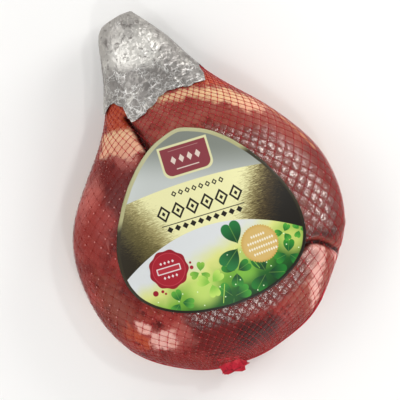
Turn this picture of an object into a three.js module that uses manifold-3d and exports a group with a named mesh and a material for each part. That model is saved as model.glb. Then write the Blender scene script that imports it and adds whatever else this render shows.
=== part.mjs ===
// A whole boneless cured ham as it is sold, lying on its back: the pressed ham itself, the clear vacuum bag
// shrunk on to it, the red net sleeve pulled over the bag and gathered into a tail at the butt end, crumpled
// foil round the shank, and a large stick-on label over the face. Millimetres, +Z up, shank towards +Y.
// The origin is on the surface that the ham rests on, under its belly.
import * as THREE from "three";
import Module from "manifold-3d";
import { mergeVertices } from "three/addons/utils/BufferGeometryUtils.js";

// Sections across the ham from the butt end to the tip of the shank: where along Y each one stands, how far
// it reaches to the left and to the right, and its lowest and highest points.
const SECTIONS = [
  { y: -148, left: -13, right: -9, low: 49, high: 52 },
  { y: -146.5, left: -36, right: 19, low: 30, high: 61 },
  { y: -140, left: -56, right: 39, low: 16, high: 70 },
  { y: -128, left: -82, right: 68, low: 6, high: 78 },
  { y: -110, left: -107, right: 92, low: 0, high: 87 },
  { y: -84, left: -126.5, right: 114, low: -4, high: 95 },
  { y: -45, left: -140.5, right: 139.5, low: -6, high: 102 },
  { y: 0, left: -142, right: 143.5, low: -6, high: 105 },
  { y: 42, left: -131, right: 135, low: -6, high: 104 },
  { y: 75, left: -108, right: 114, low: -5, high: 99 },
  { y: 105, left: -83, right: 91, low: -2, high: 91 },
  { y: 134, left: -68, right: 62, low: 4, high: 81 },
  { y: 165, left: -57.5, right: 36, low: 9, high: 70 },
  { y: 195, left: -52, right: 18.5, low: 13, high: 61 },
  { y: 213, left: -49.5, right: 5.5, low: 16, high: 55 },
  { y: 224, left: -43.5, right: -2.5, low: 20, high: 49 },
  { y: 231, left: -30, right: -8, low: 26, high: 41 },
  { y: 232.5, left: -20, right: -13, low: 32, high: 35 },
];
const RIM_SHARE = 0.42; // height of a section's widest point, as a share of its thickness
const TOP_ROUNDNESS = 2.25; // superellipse exponents: 2 is an ellipse, and more is squarer
const BOTTOM_ROUNDNESS = 2.6;
const ROWS = 24; // facets along the ham
const COLUMNS = 32; // facets round it
const POLE = 0.012; // the first and the last row stand this share of the way in from the two ends

// The layers, as distances from the net's outer face, which is the surface that SECTIONS describe.
const AIR = 0.3; // clearance between two layers
const NET_WALL = 0.8;
const BAG_WALL = 0.5;
const BAG_FACE = -NET_WALL - AIR;
const HAM_FACE = BAG_FACE - BAG_WALL - AIR;
const FOIL_GAP = 0.5;
const FOIL_WALL = 0.6;
const LABEL_GAP = 0.5;
const LABEL_WALL = 0.5;

// The rows at which the net's and the bag's mouths end, both of them under the foil.
const NET_MOUTH = 18;
const BAG_MOUTH = 19;

// The foil's torn edge: its place along Y at angles round the shank, from the right side over the face.
const FOIL_EDGE = [
  { angle: 0, y: 152 },
  { angle: 22, y: 140 },
  { angle: 88, y: 138 },
  { angle: 113, y: 128 },
  { angle: 134, y: 117 },
  { angle: 146, y: 141 },
  { angle: 157, y: 144 },
  { angle: 174, y: 136 },
  { angle: 205, y: 141 },
  { angle: 240, y: 134 },
  { angle: 275, y: 139 },
  { angle: 310, y: 133 },
  { angle: 340, y: 147 },
  { angle: 360, y: 152 },
];
const SHANK_HEIGHT = 36; // the middle of the shank, round which those angles turn
const SHANK_CORE = 12; // the torn edge is drawn from this radius, inside the shank,
const BEYOND = 300; // to this one, outside everything

// The right half of the label's outline, from its top point to its bottom point.
const LABEL_HALF = [
  { x: 0, y: 101 },
  { x: 26, y: 92 },
  { x: 50, y: 73 },
  { x: 73, y: 44 },
  { x: 91, y: 8 },
  { x: 96, y: -20 },
  { x: 90, y: -49 },
  { x: 69, y: -70 },
  { x: 37, y: -83 },
  { x: 0, y: -87 },
];
const LABEL_CENTRE = new THREE.Vector2(0, 2);
const LABEL_RINGS = 5;

// The net's gathered tail, seen from above: it leaves the butt end, folds over and fans out in two points.
const TAIL = [
  { x: -31, y: -134 },
  { x: -31, y: -150 },
  { x: -29, y: -155 },
  { x: -16, y: -156 },
  { x: -7, y: -159 },
  { x: -5.5, y: -155 },
  { x: 0, y: -153 },
  { x: -8, y: -149 },
  { x: -8, y: -134 },
];
const TAIL_LOW = 46;
const TAIL_HIGH = 55;

const STEP = 1e-3; // for slopes by differences
const spline = (list, a, b) => new THREE.SplineCurve(list.map((s) => new THREE.Vector2(s[a], s[b])));
const leftSide = spline(SECTIONS, "y", "left");
const rightSide = spline(SECTIONS, "y", "right");
const heights = spline(SECTIONS, "low", "high");

// The section at t, from 0 at the butt end to 1 at the tip.
function section(t) {
  const left = leftSide.getPoint(t);
  const right = rightSide.getPoint(t);
  const height = heights.getPoint(t);
  return {
    y: left.x,
    centre: (left.y + right.y) / 2,
    half: (right.y - left.y) / 2,
    rim: height.x + RIM_SHARE * (height.y - height.x),
    low: height.x,
    high: height.y,
  };
}

const power = (value, exponent) => Math.sign(value) * Math.abs(value) ** exponent;

// A point of the ham's full form, before its own weight flattens it underneath.
function form(t, angle) {
  const s = section(t);
  const up = Math.sin(angle);
  const roundness = up > 0 ? TOP_ROUNDNESS : BOTTOM_ROUNDNESS;
  const reach = up > 0 ? s.high - s.rim : s.rim - s.low;
  return new THREE.Vector3(
    s.centre + s.half * power(Math.cos(angle), 2 / roundness),
    s.y,
    s.rim + reach * power(up, 2 / roundness),
  );
}

// A point of the layer that lies distance outside the net's outer face, flat where the ham rests.
function layer(t, angle, distance) {
  const point = form(t, angle);
  const across = form(t, angle + STEP).sub(form(t, angle - STEP));
  const along = form(t + STEP, angle).sub(form(t - STEP, angle));
  point.addScaledVector(along.cross(across).normalize(), distance);
  point.z = Math.max(point.z, -distance);
  return point;
}

// A closed geometry from rows of points, each of them a ring or a single point, stacked end to end.
function stack(rows) {
  const points = [];
  const add = (a, b, c) => points.push(...a.toArray(), ...b.toArray(), ...c.toArray());
  const pick = (row, i) => row[i % row.length];
  for (let r = 0; r + 1 < rows.length; r += 1) {
    const [near, far] = [rows[r], rows[r + 1]];
    const count = Math.max(near.length, far.length);
    for (let i = 0; i < count; i += 1) {
      if (near.length > 1) add(pick(near, i), pick(near, i + 1), pick(far, i + 1));
      if (far.length > 1) add(pick(near, i), pick(far, i + 1), pick(far, i));
    }
  }
  const geometry = new THREE.BufferGeometry();
  geometry.setAttribute("position", new THREE.Float32BufferAttribute(points, 3));
  return mergeVertices(geometry);
}

const angles = Array.from({ length: COLUMNS }, (_, i) => (-2 * Math.PI * i) / COLUMNS); // right, then under
const middle = (ring) => ring.reduce((sum, p) => sum.add(p), new THREE.Vector3()).divideScalar(ring.length);

// The closed body inside one layer, from the butt end to one of the rows. All layers share their rows and
// columns, so that their facets lie parallel and the clearance between them is the same everywhere.
function body(distance, lastRow = ROWS) {
  const rows = [];
  for (let row = 0; row <= lastRow; row += 1) {
    const t = THREE.MathUtils.lerp(POLE, 1 - POLE, row / ROWS);
    rows.push(angles.map((angle) => layer(t, angle, distance)));
  }
  return stack([[middle(rows[0])], ...rows, [middle(rows.at(-1))]]);
}

const wasm = await Module();
wasm.setup();

function solid(geometry) {
  return new wasm.Manifold(
    new wasm.Mesh({
      numProp: 3,
      vertProperties: geometry.attributes.position.array,
      triVerts: new Uint32Array(geometry.index.array),
    }),
  );
}

function surface(made) {
  const mesh = made.getMesh();
  const geometry = new THREE.BufferGeometry();
  geometry.setAttribute("position", new THREE.BufferAttribute(mesh.vertProperties, 3));
  geometry.setIndex(new THREE.BufferAttribute(mesh.triVerts, 1));
  return geometry;
}

const wrappedHam = new THREE.Group();

function piece(name, geometry, material) {
  geometry.computeVertexNormals();
  const mesh = new THREE.Mesh(geometry, material);
  mesh.name = name;
  wrappedHam.add(mesh);
}

// The ham: boned leg, cured and pressed, one solid piece of lean and fat.
piece(
  "ham",
  body(HAM_FACE),
  new THREE.MeshStandardMaterial({ color: 0x8c3a34, roughness: 0.45 }),
);

// The vacuum bag: clear film drawn tight, open where its neck ends under the foil.
const bagOutside = solid(body(BAG_FACE, BAG_MOUTH));
const bagInside = solid(body(BAG_FACE - BAG_WALL, BAG_MOUTH + 1));
piece(
  "vacuum_bag",
  surface(bagOutside.subtract(bagInside)),
  new THREE.MeshStandardMaterial({ color: 0xf2e9e4, roughness: 0.1, transparent: true, opacity: 0.2 }),
);

// The net sleeve: a stretch net, here as a thin wall, with its tail gathered at the butt end.
const tailOutline = new THREE.Shape(TAIL.map((p) => new THREE.Vector2(p.x, p.y)));
const tailDepth = TAIL_HIGH - TAIL_LOW;
const tailBlock = new THREE.ExtrudeGeometry(tailOutline, { depth: tailDepth, bevelEnabled: false });
tailBlock.deleteAttribute("normal");
tailBlock.deleteAttribute("uv");
tailBlock.translate(0, 0, TAIL_LOW);
const netOutside = solid(body(0, NET_MOUTH)).add(solid(mergeVertices(tailBlock)));
const netInside = solid(body(-NET_WALL, NET_MOUTH + 1));
piece(
  "net_sleeve",
  surface(netOutside.subtract(netInside)),
  new THREE.MeshStandardMaterial({ color: 0xb3202c, roughness: 0.5 }),
);

// The foil: aluminium foil wrapped round the shank, closed over its tip, with a torn lower edge.
function foilEdge(angle) {
  const turn = THREE.MathUtils.euclideanModulo(THREE.MathUtils.radToDeg(angle), 360);
  const next = Math.max(1, FOIL_EDGE.findIndex((p) => p.angle >= turn));
  const [from, to] = [FOIL_EDGE[next - 1], FOIL_EDGE[next]];
  return THREE.MathUtils.mapLinear(turn, from.angle, to.angle, from.y, to.y);
}

// The space above the torn edge: two rings carry the edge inwards and outwards, and one lies beyond the tip.
function aboveEdge() {
  const ring = (radius, y) =>
    angles.map((a) => new THREE.Vector3(radius * Math.cos(a), y(a), SHANK_HEIGHT + radius * Math.sin(a)));
  const rows = [ring(SHANK_CORE, foilEdge), ring(BEYOND, foilEdge), ring(BEYOND, () => BEYOND)];
  return stack([[middle(rows[0])], ...rows, [middle(rows.at(-1))]]);
}
const foilOutside = solid(body(FOIL_GAP + FOIL_WALL));
const foilInside = solid(body(FOIL_GAP));
piece(
  "foil_cap",
  surface(foilOutside.subtract(foilInside).intersect(solid(aboveEdge()))),
  new THREE.MeshStandardMaterial({ color: 0xb9b8b4, roughness: 0.35, metalness: 1 }),
);

// The t at which the ham has reached y.
function atY(y) {
  let [low, high] = [0, 1];
  while (high - low > STEP * STEP) {
    const t = (low + high) / 2;
    if (section(t).y < y) low = t;
    else high = t;
  }
  return low;
}

// The label: printed film stuck over the net, following the face of the ham.
function topPoint(x, y, distance) {
  const height = (u, v) => {
    const s = section(atY(v));
    const across = Math.min(Math.abs((u - s.centre) / s.half), 1);
    return s.rim + (s.high - s.rim) * (1 - across ** TOP_ROUNDNESS) ** (1 / TOP_ROUNDNESS);
  };
  const reach = 1;
  const slopeX = (height(x + reach, y) - height(x - reach, y)) / (2 * reach);
  const slopeY = (height(x, y + reach) - height(x, y - reach)) / (2 * reach);
  const outward = new THREE.Vector3(-slopeX, -slopeY, 1).normalize();
  return new THREE.Vector3(x, y, height(x, y)).addScaledVector(outward, distance);
}

const halfCurve = new THREE.SplineCurve(LABEL_HALF.map((p) => new THREE.Vector2(p.x, p.y)));
const rightHalf = halfCurve.getPoints(COLUMNS / 2);
const leftHalf = rightHalf.slice(1, -1).reverse().map((p) => new THREE.Vector2(-p.x, p.y));
const labelOutline = [...rightHalf, ...leftHalf];

function labelRing(ring, distance) {
  return labelOutline.map((p) => {
    const place = LABEL_CENTRE.clone().lerp(p, ring / LABEL_RINGS);
    return topPoint(place.x, place.y, distance);
  });
}
const rings = Array.from({ length: LABEL_RINGS }, (_, i) => i + 1);
const labelCore = (distance) => [topPoint(LABEL_CENTRE.x, LABEL_CENTRE.y, distance)];
const labelTop = rings.map((r) => labelRing(r, LABEL_GAP + LABEL_WALL));
const labelUnder = rings.map((r) => labelRing(r, LABEL_GAP)).reverse();
piece(
  "label",
  stack([labelCore(LABEL_GAP + LABEL_WALL), ...labelTop, ...labelUnder, labelCore(LABEL_GAP)]),
  new THREE.MeshStandardMaterial({ color: 0xd9cf9a, roughness: 0.35, metalness: 0.3 }),
);

export default wrappedHam;
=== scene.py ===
"""A boneless dry-cured ham, lying on its back: cured leg, vacuum bag, red net, foil and label."""

import math

import bmesh
import bpy
import numpy as np
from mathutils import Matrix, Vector, noise
from mathutils.bvhtree import BVHTree


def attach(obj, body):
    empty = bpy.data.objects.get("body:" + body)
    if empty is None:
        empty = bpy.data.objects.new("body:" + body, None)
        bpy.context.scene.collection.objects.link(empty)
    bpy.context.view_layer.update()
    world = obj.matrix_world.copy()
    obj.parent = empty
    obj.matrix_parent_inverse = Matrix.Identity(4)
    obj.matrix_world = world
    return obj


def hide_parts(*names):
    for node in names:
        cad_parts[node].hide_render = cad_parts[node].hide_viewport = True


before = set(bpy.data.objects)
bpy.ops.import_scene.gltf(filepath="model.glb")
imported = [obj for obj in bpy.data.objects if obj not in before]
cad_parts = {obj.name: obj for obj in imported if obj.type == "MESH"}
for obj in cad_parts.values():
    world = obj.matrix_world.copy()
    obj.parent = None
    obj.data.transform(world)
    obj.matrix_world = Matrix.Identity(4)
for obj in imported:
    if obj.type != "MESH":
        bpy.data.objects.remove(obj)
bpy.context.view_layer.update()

# ------------------------------------------------------------------------------------------------------------
# The ham: a boned leg, salted, dried and pressed into one heavy, lumpy body of dark red lean and fat. Its
# form is sampled as a table, from the butt end to the shank and from the right side over the face and back
# under the belly, because the bag, net, foil and label are all shaped on it.
# ------------------------------------------------------------------------------------------------------------
MM = 0.001
ALONG, ROUND = 260, 360  # samples of the form
END_GAP = 0.6 * MM  # from each end to the first ring of samples


def as_piece(name, data):
    """An object of the scene, at the origin."""
    piece = bpy.data.objects.new(name, data)
    bpy.context.scene.collection.objects.link(piece)
    return piece


def positions(mesh):
    """The corners of a mesh, as rows of x, y and z."""
    flat = np.empty(len(mesh.vertices) * 3)
    mesh.vertices.foreach_get("co", flat)
    return flat.reshape(-1, 3)


def smoothed(node):
    """The surface of a CAD node with its facets rounded off, as a tree to cast rays at, and its two ends."""
    bm = bmesh.new()
    bm.from_mesh(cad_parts[node].data)
    bmesh.ops.remove_doubles(bm, verts=bm.verts, dist=0.01 * MM)
    bmesh.ops.join_triangles(bm, faces=bm.faces, angle_face_threshold=math.pi, angle_shape_threshold=math.pi)
    mesh = bpy.data.meshes.new(node + "_form")
    bm.to_mesh(mesh)
    bm.free()
    rounded = as_piece(node + "_form", mesh)
    rounded.modifiers.new("rounding", "SUBSURF").levels = 3
    depsgraph = bpy.context.evaluated_depsgraph_get()
    tree = BVHTree.FromObject(rounded, depsgraph)
    corners = positions(rounded.evaluated_get(depsgraph).data)
    bpy.data.objects.remove(rounded)
    return tree, corners[corners[:, 1].argmin()], corners[corners[:, 1].argmax()]


def hit(start, direction):
    """Where a ray meets the ham, if it does."""
    return ham_surface.ray_cast(Vector(start), Vector(direction))[0]


def spread(table, distances, count):
    """The rows of a table sampled again at count places that lie evenly along distances."""
    even = np.linspace(0, distances[-1], count)
    columns = [np.interp(even, distances, column) for column in table.reshape(len(distances), -1).T]
    return np.array(columns).T.reshape((count,) + table.shape[1:])


def sample_form():
    """Points on the ham, evenly spaced round it and along it, and the mean length from end to end."""
    middle, half = (butt[1] + shank[1]) / 2, (shank[1] - butt[1]) / 2 - END_GAP
    spokes = [Vector((math.cos(t), 0, math.sin(t))) for t in np.linspace(0, 2 * math.pi, ROUND + 1)]
    rings = []
    for step in range(ALONG):
        y = middle - half * math.cos(math.pi * step / (ALONG - 1))
        height = np.interp(y, (butt[1], shank[1]), (butt[2], shank[2]))
        x = (hit((-1, y, height), (1, 0, 0)).x + hit((1, y, height), (-1, 0, 0)).x) / 2
        heart = Vector((x, y, (hit((x, y, -1), (0, 0, 1)).z + hit((x, y, 1), (0, 0, -1)).z) / 2))
        ring = np.array([hit(heart + spoke, -spoke) for spoke in spokes])
        steps = np.linalg.norm(np.diff(ring, axis=0), axis=1)
        rings.append(spread(ring, np.concatenate([[0], np.cumsum(steps)]), ROUND + 1)[:-1])
    rings = np.array(rings)
    rings = np.concatenate([np.tile(butt, (1, ROUND, 1)), rings, np.tile(shank, (1, ROUND, 1))])
    steps = np.linalg.norm(np.diff(rings, axis=0), axis=2).mean(axis=1)
    lengths = np.concatenate([[0], np.cumsum(steps)])
    return spread(rings, lengths, ALONG), lengths[-1]


ham_surface, butt, shank = smoothed("ham")
form, form_length = sample_form()
along = np.gradient(form, axis=0)
across = np.roll(form, -1, axis=1) - np.roll(form, 1, axis=1)
outward = np.cross(along, across)
outward[0], outward[-1] = (0, -1, 0), (0, 1, 0)
outward /= np.linalg.norm(outward, axis=2, keepdims=True)
girth = np.linalg.norm(np.roll(form, -1, axis=1) - form, axis=2).sum(axis=1)
shares = np.linspace(0, 1, ALONG)


def look_up(table, u, v):
    """The table at shares u round the ham and v along it, between its samples."""
    column, row = np.mod(u, 1) * ROUND, np.clip(v, 0, 1) * (ALONG - 1)
    c, r = np.floor(column).astype(int) % ROUND, np.minimum(np.floor(row).astype(int), ALONG - 2)
    past_c, past_r = (column - np.floor(column))[:, None], (row - r)[:, None]
    near = table[r, c] * (1 - past_c) + table[r, (c + 1) % ROUND] * past_c
    far = table[r + 1, c] * (1 - past_c) + table[r + 1, (c + 1) % ROUND] * past_c
    return near * (1 - past_r) + far * past_r


def on_form(u, v, lift=0.0):
    """Points at a distance outside the ham's form, and the directions in which the form faces there."""
    facing = look_up(outward, u, v)
    facing /= np.linalg.norm(facing, axis=1, keepdims=True)
    return look_up(form, u, v) + facing * np.reshape(lift, (-1, 1)), facing


# The net is knitted with this many cells round. Its yarn is elastic, so that a cell keeps its shape and is
# small at the neck and wide round the middle. Its rows are needed here already, because the bag and the meat
# swell through its cells.
CELLS_ROUND = 50
CELL_LENGTH = 1.15  # for a width of 1
NARROWEST_CELL = 5.5 * MM
PILLOW_FULLNESS = 0.35  # below 1 a pillow is flat on top and steep at the yarns
RIM_TILT, FACE_TILT = 0.15, 0.5  # how far upwards the ham's surface faces at its rim and on its face


def knot_rows():
    """The number of knot rows that lie before each sample along the ham."""
    row_spacing = CELL_LENGTH / 2 * np.maximum(girth[1:] / CELLS_ROUND, NARROWEST_CELL)
    return np.r_[0, np.cumsum(form_length / (ALONG - 1) / row_spacing)]


row_number = knot_rows()


def swelling(u, v):
    """How far a spot stands out between the net's yarns: 0 on a yarn, 1 in the middle of a cell."""
    row = np.interp(v, shares, row_number)
    rising, falling = u * CELLS_ROUND - row / 2, u * CELLS_ROUND + row / 2
    return (np.sin(np.pi * rising) ** 2 * np.sin(np.pi * falling) ** 2) ** PILLOW_FULLNESS


def on_face(facing):
    """1 on the ham's face, falling to 0 at its rim, where the film bridges the net and lies smooth."""
    return np.clip((facing[:, 2] - RIM_TILT) / (FACE_TILT - RIM_TILT), 0, 1)


def nearness(points, route, width):
    """1 on a route seen from above, falling to 0 away from it over about width."""
    best = np.full(len(points), np.inf)
    for a, b in zip(route, route[1:]):
        a, run = np.array(a) * MM, (np.array(b) - np.array(a)) * MM
        t = np.clip((points[:, :2] - a) @ run / (run @ run), 0, 1)
        best = np.minimum(best, np.linalg.norm(points[:, :2] - a - t[:, None] * run, axis=1))
    return np.exp(-((best / width) ** 2))


def depth_in(points, outline):
    """How deep a point seen from above lies inside an outline, in millimetres: negative outside it."""
    best = np.full(len(points), np.inf)
    inside = np.zeros(len(points), bool)
    x, y = points[:, 0] / MM, points[:, 1] / MM
    for (ax, ay), (bx, by) in zip(outline, outline[1:] + outline[:1]):
        run = np.array([bx - ax, by - ay])
        t = np.clip(((x - ax) * run[0] + (y - ay) * run[1]) / (run @ run), 0, 1)
        best = np.minimum(best, np.hypot(x - ax - t * run[0], y - ay - t * run[1]))
        if ay != by:
            inside ^= ((ay > y) != (by > y)) & (x < (bx - ax) * (y - ay) / (by - ay) + ax)
    return np.where(inside, best, -best)


def rough(points, size):
    """Smooth random values from -1 to 1, with lumps of about size."""
    return np.array([noise.noise(Vector(p)) for p in points / size])


# Where two muscles meet at the surface, seen from above in millimetres: left of the shank, and on the right.
SHANK_SEAM = [(-47, 128), (-43, 117), (-40, 108), (-37, 94), (-33, 80)]
SIDE_SEAM = [(86, -52), (92, -50.5), (98, -50), (106, -52), (113, -57), (120, -64), (127, -74)]
SEAM_WIDTH = 3.6 * MM
SHANK_SEAM_DEPTH, SIDE_SEAM_DEPTH = 9 * MM, 8 * MM
BULGES = [  # centre, height and width of the muscles that swell beside the seams, in millimetres
    ((138, -42), 3.2, 7), ((104, -40), 1.6, 9), ((102, -66), 2.2, 12), ((-60, 104), 1.8, 14),
]
LUMPS, LUMP_HEIGHT, LUMP_MEAN = 70 * MM, 1.6 * MM, 0.3
RIM_PILLOW = 0.25  # how much of its pillows the bag keeps at the rim

# The layers, from the ham's sampled form outwards: the form has lost this much where its facets were
# rounded off and where the CAD ham stands clear of its wrappings.
NET_FACE = 4.0 * MM
YARN = 0.5 * MM
BAG_FACE = NET_FACE - 0.6 * MM
BAG_OVER_MEAT = 0.35 * MM
MEAT_SWELL, BAG_SWELL = 0.2 * MM, 0.4 * MM


def relief(points, facing, u, v, swell):
    """The lift of a layer over the form: muscle lumps, the seams between muscles, and swollen net cells."""
    from_above = np.clip(facing[:, 2] * 3, 0, 1)
    seams = SHANK_SEAM_DEPTH * nearness(points, SHANK_SEAM, SEAM_WIDTH)
    seams += SIDE_SEAM_DEPTH * nearness(points, SIDE_SEAM, SEAM_WIDTH)
    for centre, height, width in BULGES:
        seams -= height * MM * nearness(points, [centre, (centre[0] + 1, centre[1])], width * MM)
    pillows = swell * (swelling(u, v) * (RIM_PILLOW + (1 - RIM_PILLOW) * on_face(facing)) - 1)
    return LUMP_HEIGHT * (rough(points, LUMPS) - LUMP_MEAN) + pillows - from_above * seams


def grid_piece(name, columns, rows, welded):
    """A grid of quads that closes on itself where welded puts two corners in one place, and the shares a
    across it and b along it of its corners."""
    bm = bmesh.new()
    bmesh.ops.create_grid(bm, x_segments=columns, y_segments=rows, size=0.5)
    share_a, share_b = bm.verts.layers.float.new("a"), bm.verts.layers.float.new("b")
    for corner in bm.verts:
        corner[share_a], corner[share_b] = corner.co.x + 0.5, corner.co.y + 0.5
        corner.co = welded(corner[share_a], corner[share_b])
    bmesh.ops.remove_doubles(bm, verts=bm.verts, dist=1e-6)
    a = np.array([corner[share_a] for corner in bm.verts])
    b = np.array([corner[share_b] for corner in bm.verts])
    bm.verts.layers.float.remove(share_b)
    bm.verts.layers.float.remove(bm.verts.layers.float["a"])
    mesh = bpy.data.meshes.new(name)
    bm.to_mesh(mesh)
    bm.free()
    mesh.shade_smooth()
    return as_piece(name, mesh), a, b


def as_ball(a, b):
    """A place on a ball, whose poles are the ham's ends."""
    ring = math.sin(math.pi * b) if 0 < b < 1 else 0
    return ring * math.cos(2 * math.pi * a), ring * math.sin(2 * math.pi * a), -math.cos(math.pi * b)


def shape(piece, points):
    """Moves the corners of a piece, and turns its faces outwards."""
    piece.data.vertices.foreach_set("co", points.ravel())
    bm = bmesh.new()
    bm.from_mesh(piece.data)
    bmesh.ops.recalc_face_normals(bm, faces=bm.faces)
    bm.to_mesh(piece.data)
    bm.free()


def map_cells(piece, u, v):
    """A UV map that counts net cells: U goes round the ham, V is half the number of the knot row."""
    corner = np.empty(len(piece.data.loops), int)
    piece.data.loops.foreach_get("vertex_index", corner)
    sides = np.empty(len(piece.data.polygons), int)
    piece.data.polygons.foreach_get("loop_total", sides)
    face = np.repeat(np.arange(len(sides)), sides)
    furthest = np.zeros(len(sides))
    np.maximum.at(furthest, face, u[corner])
    turns = u[corner] + ((furthest[face] > 0.9) & (u[corner] < 0.1))
    rows = np.interp(v[corner], shares, row_number) / 2
    cells = np.c_[turns * CELLS_ROUND, rows]
    piece.data.uv_layers.new(name="cells").data.foreach_set("uv", cells.ravel())


def remember(piece, name, values):
    """Stores a value at each corner of a piece, for its material."""
    piece.data.attributes.new(name, "FLOAT", "POINT").data.foreach_set("value", values)


# What shows on the face, as outlines seen from above in millimetres: bare fat, fat browned by smoke, almost
# black lean, and beside the muscle seams almost black painted shade that widens their gaps, a pale haze of
# thin fat, and lean that is deep red, ruddy or tan. The last two are where air lies under the film, so that
# the film loosens into glinting pillows and the meat under it gets a painted sheen with painted glints, and
# where those painted glints are strongest.
FAT_OUTLINES = [
    [(88, -55), (99, -52), (109, -59), (107, -72), (102, -81), (96, -93), (88, -106), (81, -116), (84, -98),
     (88, -84), (87, -68), (84, -61)],
    [(116, -63), (124, -67), (120, -75), (115, -75)],
    [(-14, 141), (24, 137), (47, 134), (62, 127), (84, 110), (95, 98), (88, 94), (76, 99), (62, 108),
     (40, 122), (14, 131), (-12, 134), (-26, 132)],
    [(-76, 118), (-56, 119), (-45, 114), (-43, 100), (-38, 90), (-52, 86), (-66, 94), (-84, 96), (-80, 106)],
    [(-99, -76), (-91, -79), (-85, -85), (-86, -91), (-93, -92), (-98, -85)],
    [(-86, -92), (-75, -93), (-65, -97), (-62, -103), (-66, -110), (-75, -113), (-86, -111), (-89, -103)],
]
SMOKED_OUTLINES = [
    [(-72, 138), (-57, 148), (-42, 136), (-44, 116), (-58, 114), (-70, 120)],
    [(-108, -72), (-101, -84), (-91, -94), (-90, -103), (-94, -109), (-104, -100), (-110, -85)],
    [(-20, 152), (20, 150), (46, 148), (72, 128), (60, 131), (36, 140), (8, 145), (-20, 146)],
]
DARK_AND_GAP_SHADE_OUTLINES = [
    [(-4, -114), (12, -108), (36, -110), (48, -118), (32, -130), (8, -134), (-6, -126)],
    [(-42, 112), (-34, 112), (-26, 84), (-34, 80)],
    [(88, -48), (104, -46), (124, -58), (126, -44), (104, -38), (90, -42)],
]
HAZE_OUTLINES = [
    [(-118, 60), (-104, 78), (-94, 78), (-90, 66), (-104, 50), (-122, 40)],
    [(-78, 98), (-58, 92), (-48, 84), (-54, 74), (-70, 84)],
    [(-62, -91), (-51, -85), (-49, -90), (-56, -99), (-63, -101)],
    [(-96, -84), (-70, -90), (-44, -94), (-46, -112), (-66, -118), (-90, -110)],
]
DEEP_OUTLINES = [
    [(-77, 103), (-60, 96), (-47, 74), (-67, 51), (-84, 29), (-92, 48), (-94, 67), (-95, 85)],
    [(128, 60), (144, 29), (146, -17), (136, -55), (123, -47), (129, -6), (119, 45)],
    [(-51, -96), (-1, -107), (39, -109), (50, -123), (17, -143), (-27, -138), (-55, -123)],
]
RUDDY_OUTLINES = [
    [(-104, 70), (-94, 63), (-95, 38), (-100, 12), (-113, -8), (-133, -2), (-133, 28), (-119, 56)],
]
TAN_OUTLINES = [
    [(-124, -24), (-108, -33), (-96, -61), (-84, -77), (-101, -76), (-101, -98), (-118, -82), (-129, -53)],
]
AIR_AND_GLINT_OUTLINES = [
    [(30, 96), (62, 80), (88, 76), (108, 50), (122, 24), (131, -18), (124, -44), (98, -42), (80, -20),
     (70, 20), (56, 50), (34, 72)],
    [(-50, -86), (-20, -80), (30, -82), (74, -68), (98, -50), (100, -66), (78, -84), (40, -98), (4, -102),
     (-40, -100)],
]
PAINTED_GLINT_OUTLINES = [
    [(72, 71), (93, 59), (112, 32), (126, 0), (128, -29), (119, -39), (107, -24), (98, 13), (83, 43),
     (68, 59)],
    [(-47, -82), (-17, -87), (21, -90), (60, -85), (81, -78), (78, -90), (41, -103), (5, -105), (-36, -97)],
]
RIM_FAT = [(84, 110), (94, 101), (106, 84), (117, 68), (126, 51), (131, 41)]
RIM_FAT_WIDTH = 1.6 * MM
NET_GATHER = [(-40, -131), (-22, -133), (0, -132), (16, -127)]
GATHER_WIDTH = 1.8 * MM
SKIN_COLUMNS, SKIN_ROWS = 300, 290  # of the meat's mesh and the film's
REST_CLEARANCE = 1.4 * MM  # of the meat over what the ham lies on
NO_PATCH = -20.0  # the depth stored on the back, where no outline counts
GATHER_SHADE = 0.8
RIND_TILT, RIND_RISE = -0.3, 0.32  # the rind starts below the rim, and higher towards the shank side

ham, u, v = grid_piece("cured_ham", SKIN_COLUMNS, SKIN_ROWS, as_ball)
points, facing = on_form(u, v)
from_above = facing[:, 2] > 0.05
points, facing = on_form(u, v, relief(points, facing, u, v, MEAT_SWELL) + BAG_FACE - BAG_OVER_MEAT)
points[:, 2] = np.maximum(points[:, 2], REST_CLEARANCE)
shape(ham, points)
map_cells(ham, u, v)
patches = {
    "fat": FAT_OUTLINES, "smoked": SMOKED_OUTLINES, "dark": DARK_AND_GAP_SHADE_OUTLINES, "haze": HAZE_OUTLINES,
    "deep": DEEP_OUTLINES, "ruddy": RUDDY_OUTLINES, "tan": TAN_OUTLINES,
    "air": AIR_AND_GLINT_OUTLINES, "painted_glints": PAINTED_GLINT_OUTLINES,
}
for name, outlines in patches.items():
    depth = np.max([depth_in(points, outline) for outline in outlines], axis=0)
    remember(ham, name, np.where(from_above, depth, NO_PATCH))
# Painted shade: almost black in the seams between muscles, and a little less along the net's gather at the
# butt end.
seams = np.maximum(nearness(points, SHANK_SEAM, SEAM_WIDTH), nearness(points, SIDE_SEAM, SEAM_WIDTH))
seams = np.maximum(seams, GATHER_SHADE * nearness(points, NET_GATHER, GATHER_WIDTH))
remember(ham, "painted_seam_shade", seams * from_above)
remember(ham, "rim_fat", nearness(points, RIM_FAT, RIM_FAT_WIDTH) * from_above)
towards_shank_side = np.clip(facing[:, 0] * 0.8 + facing[:, 1] * 0.8, 0, 1)
remember(ham, "rind", RIND_RISE * towards_shank_side + RIND_TILT - facing[:, 2])


def linear(hex_colour):
    """An sRGB hex colour as linear red, green, blue and alpha."""
    parts = [int(hex_colour[i : i + 2], 16) / 255 for i in (1, 3, 5)]
    return [p / 12.92 if p <= 0.04045 else ((p + 0.055) / 1.055) ** 2.4 for p in parts] + [1]


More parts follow.
